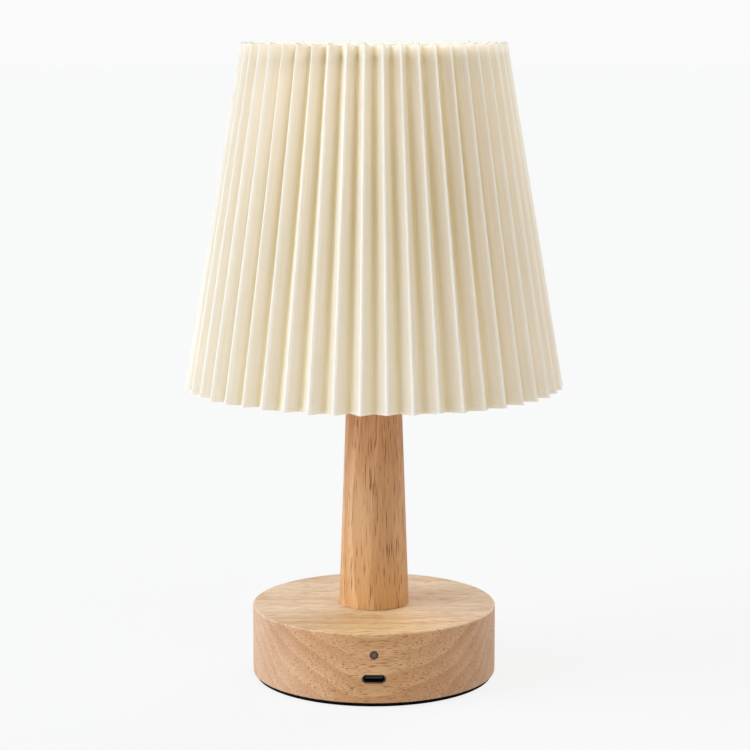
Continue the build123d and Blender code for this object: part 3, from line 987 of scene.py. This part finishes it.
print("plain finishes:", len(finishes))

# %% [markdown]
# The shade is backed with a plain white film, thinner than the fabric, so it lets more light
# through. A second sheet of mesh could stand for it, but two sheets so close would cut through each
# other. So the film is the second material of the fabric's own inner faces.

# %% Line the shade
FILM_WHITE = swatch(246, 244, 238)
FILM_SHARE = 0.8

film = moulded("white_film", FILM_WHITE, grain=0.8, gloss=0.5)
let_light_through(film, FILM_SHARE, FILM_WHITE)
shade.data.materials[1] = film
lined = sum(1 for face in shade.data.polygons if face.material_index == 1)
print("faces with white film:", lined, "of", len(shade.data.polygons))

# %% [markdown]
# ## The foot pad
#
# Under the base sits a thin disc of black foam that keeps it from sliding. It is cut with a die, so
# its edges are a little rolled. It shows in the photograph as the dark line under the wood.

# %% Cut the foot pad
PAD_RADIUS = 0.04705
PAD_LOWER_ROUND = 0.0004
PAD_UPPER_ROUND = 0.0002

pad = upright_rod(PAD_RADIUS, 0.0, BASE_BOTTOM, sides=192)
edit(pad)
round_edges(on_circle(PAD_RADIUS, 0.0), PAD_LOWER_ROUND, 4)
round_edges(on_circle(PAD_RADIUS, BASE_BOTTOM), PAD_UPPER_ROUND, 2)
leave()
settle(pad, "foam_foot", "base", ["foot_pad"])
wear(pad, finishes["foam_pad"])

# %% [markdown]
# ## The button
#
# The small dark dot on the front is the tip of a push-button that also shows light: a smoky plastic
# pin, with a collar behind the wall that keeps it from falling out. The pin is a rod. Two cuts
# across it mark off the collar, whose faces are pushed out along their normals, and its tip is
# rounded.

# %% Model the button
PIN_RADIUS = 0.0015
PIN_TIP = -0.04845
PIN_BACK = -0.04075
PIN_ROUND = 0.0003
COLLAR_FRONT = -0.0432
COLLAR_BACK = -0.0426
COLLAR_STEP = 0.0007

button = level_rod(PIN_RADIUS, PIN_TIP, PIN_BACK, BUTTON_LEVEL)
edit(button)
for y in (COLLAR_FRONT, COLLAR_BACK):
    choose_all()
    bpy.ops.mesh.bisect(plane_co=(0, y, 0), plane_no=(0, 1, 0))
choose("FACE", lambda f: COLLAR_FRONT < f.calc_center_median().y < COLLAR_BACK)
bpy.ops.mesh.extrude_region_shrink_fatten(TRANSFORM_OT_shrink_fatten={"value": COLLAR_STEP})
round_edges(lambda e: all(near(v.co.y, PIN_TIP) for v in e.verts), PIN_ROUND, 4)
leave()
settle(button, "button_pin", "power_button", ["power_button"])

# %% [markdown]
# Smoky plastic is painted dark at its rim and lighter in the middle, as painted light where the
# light inside would shine through. The distance from the button's own middle line gives that.

# %% Finish the button
smoke, tree, shader = new_material("smoky_plastic")
place = in_millimetres(tree)
flat_place = vectors("MULTIPLY", place, (1, 0, 1))
away = vectors("DISTANCE", flat_place, (0, 0, 1000 * BUTTON_LEVEL))
# Painted light: the lighter middle stands for light shining through the pin.
colour = blend(ramp(away, 1.45, 0.2), swatch(52, 36, 29), swatch(97, 72, 59))
give_skin(shader, place, colour, grain=0.3, gloss=0.3)
wear(button, smoke)
print("button finish:", smoke.name)

# %% [markdown]
# ## The charging socket
#
# A USB-C socket is a flat tube of plated steel with a plastic tongue in its middle, which carries
# gold contacts on both sides. The steel is painted dark, as painted shade for the dark inside of
# the slot. The tube is the same stretched rod as the slot's cutter, with its ends taken off and a
# wall given to it. It stands half a millimetre back from the wood.

# %% Model the socket's shell
SHELL_MOUTH = -0.04775
SHELL_BACK = -0.03845
SHELL_HALF_HEIGHT = 0.00163
SHELL_WALL = 0.0003
MOUTH_ROUND = 0.00008


def mouth_rim(edge):
    at_mouth = all(near(v.co.y, SHELL_MOUTH) for v in edge.verts)
    return at_mouth and len(edge.link_faces) == 2 and edge.calc_face_angle() > 1.0


shell = level_rod(SHELL_HALF_HEIGHT, SHELL_MOUTH, SHELL_BACK, PORT_LEVEL, spread=SOCKET_SPREAD)
edit(shell)
choose("FACE", lambda f: abs(f.normal.y) > 0.9)
bpy.ops.mesh.delete(type="ONLY_FACE")
leave()
apply(shell, "SOLIDIFY", thickness=SHELL_WALL, offset=-1.0, use_even_offset=True)
edit(shell)
round_edges(mouth_rim, MOUTH_ROUND, 3)
leave()
settle(shell, "socket_shell", "base", ["usb_shell"])
# Painted shade: the steel gets a dark colour for the shaded slot.
wear(shell, moulded("shade_darkened_steel", swatch(96, 93, 90), grain=0.5, gloss=0.3, tone=0.2, metal=1.0))

# %% [markdown]
# The tongue is a thin blade on a core that fills the back of the shell. One gold contact is
# modelled and copied along the blade's two sides. An Array modifier would do one side only, so a
# loop is as short.

# %% Model the tongue and its contacts
CORE_FRONT = -0.04155
CORE_HALF_HEIGHT = 0.00128
TONGUE_TIP = -0.04605
TONGUE_HALF_WIDTH = 0.00335
TONGUE_HALF_HEIGHT = 0.00035
TONGUE_TOP = PORT_LEVEL + TONGUE_HALF_HEIGHT
TONGUE_ROOT = CORE_FRONT + 0.0005
TONGUE_ROUND = 0.00012
CONTACTS = 12
CONTACT_PITCH = 0.0005
CONTACT_HALF_WIDTH = 0.00013
CONTACT_TIP = TONGUE_TIP + 0.0004
CONTACT_ROOT = CORE_FRONT - 0.0002
CONTACT_SINK = 0.00004
CONTACT_RISE = 0.00003
CONTACT_ROUND = 0.00002
LOWER_SIDE = CONTACT_SINK - CONTACT_RISE - 2 * TONGUE_HALF_HEIGHT


def small_block(low, high, round_off):
    piece = block(low, high)
    edit(piece)
    choose_all()
    bpy.ops.mesh.bevel(offset=round_off, segments=2, affect="EDGES")
    leave()
    return piece


tongue = level_rod(CORE_HALF_HEIGHT, CORE_FRONT, SHELL_BACK, PORT_LEVEL, spread=SOCKET_SPREAD)
blade = small_block(
    (-TONGUE_HALF_WIDTH, TONGUE_TIP, PORT_LEVEL - TONGUE_HALF_HEIGHT),
    (TONGUE_HALF_WIDTH, TONGUE_ROOT, TONGUE_TOP),
    TONGUE_ROUND,
)
combine(tongue, blade, "UNION")
wear(tongue, finishes["black_plastic"])

contact = small_block(
    (-CONTACT_HALF_WIDTH, CONTACT_TIP, TONGUE_TOP - CONTACT_SINK),
    (CONTACT_HALF_WIDTH, CONTACT_ROOT, TONGUE_TOP + CONTACT_RISE),
    CONTACT_ROUND,
)
gold = moulded("contact_gold", swatch(214, 176, 96), grain=0.2, gloss=0.28, tone=0.2, metal=1.0)
wear(contact, gold)
contacts = []
for index in range(CONTACTS):
    across = (index - (CONTACTS - 1) / 2) * CONTACT_PITCH
    for lift in (0, LOWER_SIDE):
        copy = contact.copy()
        copy.data = contact.data.copy()
        bpy.context.scene.collection.objects.link(copy)
        only(copy)
        bpy.ops.transform.translate(value=(across, 0, lift))
        bpy.ops.object.transform_apply()
        contacts.append(copy)
bpy.data.objects.remove(contact)
only(tongue)
for copy in contacts:
    copy.select_set(True)
bpy.ops.object.join()
settle(tongue, "socket_tongue", "base", ["usb_tongue"])

# %% [markdown]
# ## The lamp holder
#
# The white holder on top of the stem is a plastic turning: a narrow foot, a rounded neck, a flange
# that the shade rests on, and a threaded collar round the cup for the light. Such a piece is drawn
# as half a section and spun. One vertex is drawn out corner by corner, the neck's corner is
# rounded, and the section is spun once round the lamp's axis.

# %% Spin the holder
PIPE_FIT = 0.00505
NECK_RADIUS = 0.01095
FLANGE_RADIUS = 0.025
FLANGE_BOTTOM = 0.145
FLANGE_TOP = 0.147
COLLAR_RADIUS = 0.0198
COLLAR_TOP = 0.160
CUP_RADIUS = 0.0173
CUP_FLOOR = 0.153
NUT_ROOM = 0.009
NUT_FLOOR = 0.144
NECK_ROUND = 0.006
EDGE_ROUND = 0.0003


def at_point(*points):
    return lambda v: any(near(v.co.x, x) and near(v.co.z, z) for x, z in points)


def draw(points):
    piece = start(bpy.ops.mesh.primitive_plane_add, size=0.001)
    edit(piece)
    choose_all()
    bpy.ops.mesh.merge(type="CENTER")
    choose_all()
    bpy.ops.transform.translate(value=(points[0][0], 0, points[0][1]))
    for (x0, z0), (x1, z1) in zip(points, points[1:]):
        extrude(x=x1 - x0, z=z1 - z0)
    choose("VERT", at_point(points[0], points[-1]))
    bpy.ops.mesh.edge_face_add()
    return piece


def round_corner(point, radius, segments):
    choose("VERT", at_point(point))
    bpy.ops.mesh.bevel(offset=radius, segments=segments, affect="VERTICES")


def spin_round(steps):
    choose_all()
    bpy.ops.mesh.spin(steps=steps, angle=2 * math.pi, center=(0, 0, 0), axis=(0, 0, 1))
    choose_all()
    bpy.ops.mesh.remove_doubles(threshold=0.000002)
    bpy.ops.mesh.normals_make_consistent(inside=False)
    leave()


section = [
    (PIPE_FIT, STEM_TOP),
    (NECK_RADIUS, STEM_TOP),
    (NECK_RADIUS, FLANGE_BOTTOM),
    (FLANGE_RADIUS, FLANGE_BOTTOM),
    (FLANGE_RADIUS, FLANGE_TOP),
    (COLLAR_RADIUS, FLANGE_TOP),
    (COLLAR_RADIUS, COLLAR_TOP),
    (CUP_RADIUS, COLLAR_TOP),
    (CUP_RADIUS, CUP_FLOOR),
    (NUT_ROOM, CUP_FLOOR),
    (NUT_ROOM, NUT_FLOOR),
    (PIPE_FIT, NUT_FLOOR),
]
holder = draw(section)
round_corner((NECK_RADIUS, FLANGE_BOTTOM), NECK_ROUND, 10)
for outer in (1, 3, 4, 6, 7):
    round_corner(section[outer], EDGE_ROUND, 3)
spin_round(128)
print("holder faces:", len(holder.data.polygons))

# %% [markdown]
# The collar's thread is a small three-sided wire that climbs round it, made with the Screw modifier
# and joined on with a union. Two holes in the floor of the cup take the screws of the light.

# %% Cut the thread and drill the screw holes
THREAD_PITCH = 0.0025
THREAD_TURNS = 4
THREAD_STEPS = 72
THREAD_WIRE = 0.0004
THREAD_START = (0.01978, 0, 0.1489)
SCREW_HOLE = 0.0013
SCREW_HOLE_LEVELS = (0.1486, 0.1545)
SCREW_REACH = 0.013

thread = start(
    bpy.ops.mesh.primitive_circle_add,
    vertices=3,
    radius=THREAD_WIRE,
    location=THREAD_START,
    rotation=(math.radians(90), math.radians(90), 0),
)
apply(
    thread,
    "SCREW",
    axis="Z",
    angle=2 * math.pi,
    screw_offset=THREAD_PITCH,
    iterations=THREAD_TURNS,
    steps=THREAD_STEPS,
    render_steps=THREAD_STEPS,
    use_merge_vertices=True,
)
edit(thread)
choose_all()
bpy.ops.mesh.fill_holes(sides=3)
bpy.ops.mesh.normals_make_consistent(inside=False)
leave()
combine(holder, thread, "UNION")
for side in (-1, 1):
    cut(holder, upright_rod(SCREW_HOLE, *SCREW_HOLE_LEVELS, x=side * SCREW_REACH))
settle(holder, "threaded_holder", "base", ["lamp_holder"])
wear(holder, finishes["white_plastic"])

# %% [markdown]
# ## The opal dome
#
# A milky dome spreads the light of the small lamps. It is half a ball with a straight skirt: the
# lower half of a sphere is taken off, its open edge is drawn down, drawn in and drawn down again
# into the cup, and the shell gets its wall.

# %% Model the dome
DOME_RADIUS = 0.0194
DOME_SPRING = 0.184
DOME_WALL = 0.0015
SKIRT_RADIUS = 0.0172
SKIRT_BOTTOM = 0.1546

dome = start(
    bpy.ops.mesh.primitive_uv_sphere_add,
    segments=96,
    ring_count=64,
    radius=DOME_RADIUS,
    location=(0, 0, DOME_SPRING),
)
edit(dome)
choose("VERT", lambda v: v.co.z < DOME_SPRING - 1e-5)
bpy.ops.mesh.delete(type="VERT")
choose("EDGE", lambda e: all(near(v.co.z, DOME_SPRING) for v in e.verts))
extrude(z=COLLAR_TOP - DOME_SPRING)
extrude()
pull_in(SKIRT_RADIUS / DOME_RADIUS, COLLAR_TOP)
extrude(z=SKIRT_BOTTOM - COLLAR_TOP)
choose_all()
bpy.ops.mesh.normals_make_consistent(inside=False)
leave()
apply(dome, "SOLIDIFY", thickness=DOME_WALL, offset=-1.0, use_even_offset=True)
settle(dome, "milky_dome", "base", ["opal_dome"])

# %% [markdown]
# Opal plastic is white all through and lets light pass, so the shader is mixed with a Translucent
# one, as on the shade.

# %% Finish the dome
OPAL_SHARE = 0.35

opal = moulded("milky_plastic", swatch(240, 239, 234), grain=0.5, gloss=0.28, relief=0.000004)
let_light_through(opal, OPAL_SHARE, swatch(240, 238, 231))
wear(dome, opal)
print("dome finish:", opal.name)

# %% [markdown]
# ## The pieces that stay as CAD made them
#
# Rings, arms, screws, boards and leads already have the right shape, so they only get their
# finishes. A board's tracks are a square-edged Voronoi texture, folded to and fro into lines.

# %% Finish the boards
TRACK_RELIEF = 0.00003


def tracked_board(name, ground, track):
    material, tree, shader = new_material(name)
    place = in_millimetres(tree)
    sockets = {"Vector": place, "Scale": 0.45, "Randomness": 0.8}
    cells = add(tree, "TexVoronoi", sockets, distance="CHEBYCHEV").outputs["Distance"]
    tracks = ramp(sums("PINGPONG", cells, 0.16), 0.07, 0.1)
    give_skin(shader, place, blend(tracks, ground, track), grain=0.3, gloss=0.35)
    bump(shader, tracks, TRACK_RELIEF)
    return material


finishes["board_laminate"] = tracked_board("green_board", swatch(28, 92, 58), swatch(52, 122, 80))
finishes["light_board"] = tracked_board("white_board", swatch(232, 232, 228), swatch(214, 216, 210))
print("boards:", finishes["board_laminate"].name, finishes["light_board"].name)

# %% [markdown]
# A light chip is a white frame round a yellow middle. The chips stand in a circle, so one material
# finds the nearest chip's middle from the angle round the lamp, and the distance to it gives the
# round spot.

# %% Finish the light chips
CHIP_CIRCLE = 8.5
CHIP_STEP = 2 * math.pi / 12


def flat_length(first, second):
    squares = [sums("POWER", side, 2) for side in (first, second)]
    return sums("SQRT", sums("ADD", *squares))


chips, tree, shader = new_material("phosphor_chip")
place = in_millimetres(tree)
xyz = axes(place)
angle = sums("ARCTAN2", xyz["Y"], xyz["X"])
angle = sums("SUBTRACT", sums("FLOORED_MODULO", angle, CHIP_STEP), CHIP_STEP / 2)
sideways = sums("MULTIPLY", angle, CHIP_CIRCLE)
outwards = sums("SUBTRACT", flat_length(xyz["X"], xyz["Y"]), CHIP_CIRCLE)
away = flat_length(sideways, outwards)
colour = blend(ramp(away, 1.15, 1.0), swatch(240, 240, 236), swatch(238, 206, 92))
give_skin(shader, place, colour, grain=0.2, gloss=0.3, tone=0.0)
finishes["led_lens"] = chips
print("chip finish:", chips.name)

# %% [markdown]
# Of each pair of leads one is red and one is black. A line between the two tells the sides apart,
# so the pair needs one material only. The pipe's thread is a ridge that climbs a millimetre a turn:
# it lies inside the stem, so bump is enough for it.

# %% Finish the leads and the threaded pipe
PIPE_PITCH = 1.0
PIPE_RELIEF = 0.0004


def two_leads(name, start_middle, start_y, end_middle, end_y):
    material, tree, shader = new_material(name)
    place = in_millimetres(tree)
    xyz = axes(place)
    line = {"From Min": start_y, "From Max": end_y, "To Min": start_middle, "To Max": end_middle}
    middle = out(tree, "MapRange", {"Value": xyz["Y"], **line})
    right = sums("GREATER_THAN", xyz["X"], middle)
    colour = blend(right, swatch(30, 30, 32), swatch(190, 36, 30))
    give_skin(shader, place, colour, grain=0.5, gloss=0.45, tone=0.2)
    return material


pipe, tree, shader = new_material("threaded_zinc")
place = in_millimetres(tree)
xyz = axes(place)
turn = sums("DIVIDE", sums("ARCTAN2", xyz["Y"], xyz["X"]), 2 * math.pi)
ridge = sums("PINGPONG", sums("ADD", xyz["Z"], turn), PIPE_PITCH / 2)
# The thread's grooves are painted darker than its crests, as painted shade.
colour = blend(ramp(ridge, 0.0, 0.4), swatch(130, 128, 122), swatch(202, 201, 196))
give_skin(shader, place, colour, grain=0.5, gloss=0.34, tone=0.2)
fill(shader, Metallic=1.0)
bump(shader, ridge, PIPE_RELIEF)

own_finish = {
    "lamp_pipe": pipe,
    "led_leads": two_leads("light_leads", 0.0, -6.0, -4.5, -24.85),
    "cell_leads": two_leads("cell_leads_pair", 9.0, -8.0, 4.5, -24.85),
}
print("finishes of their own:", sorted(own_finish))

# %% [markdown]
# Every CAD piece that wasn't modelled again now takes the finish of its slot, or one of its own.
# Only materials are assigned, so the pieces stay where CAD put them.

# %% Dress the CAD pieces
dressed = 0
for name, piece in nodes.items():
    if name in replaced:
        continue
    for index, slot in enumerate(piece.data.materials):
        piece.data.materials[index] = own_finish.get(name) or finishes[slot.name]
    dressed += 1
print("CAD pieces dressed:", dressed, "modelled again:", len(replaced))

# %% Finish
bpy.ops.object.select_all(action="DESELECT")
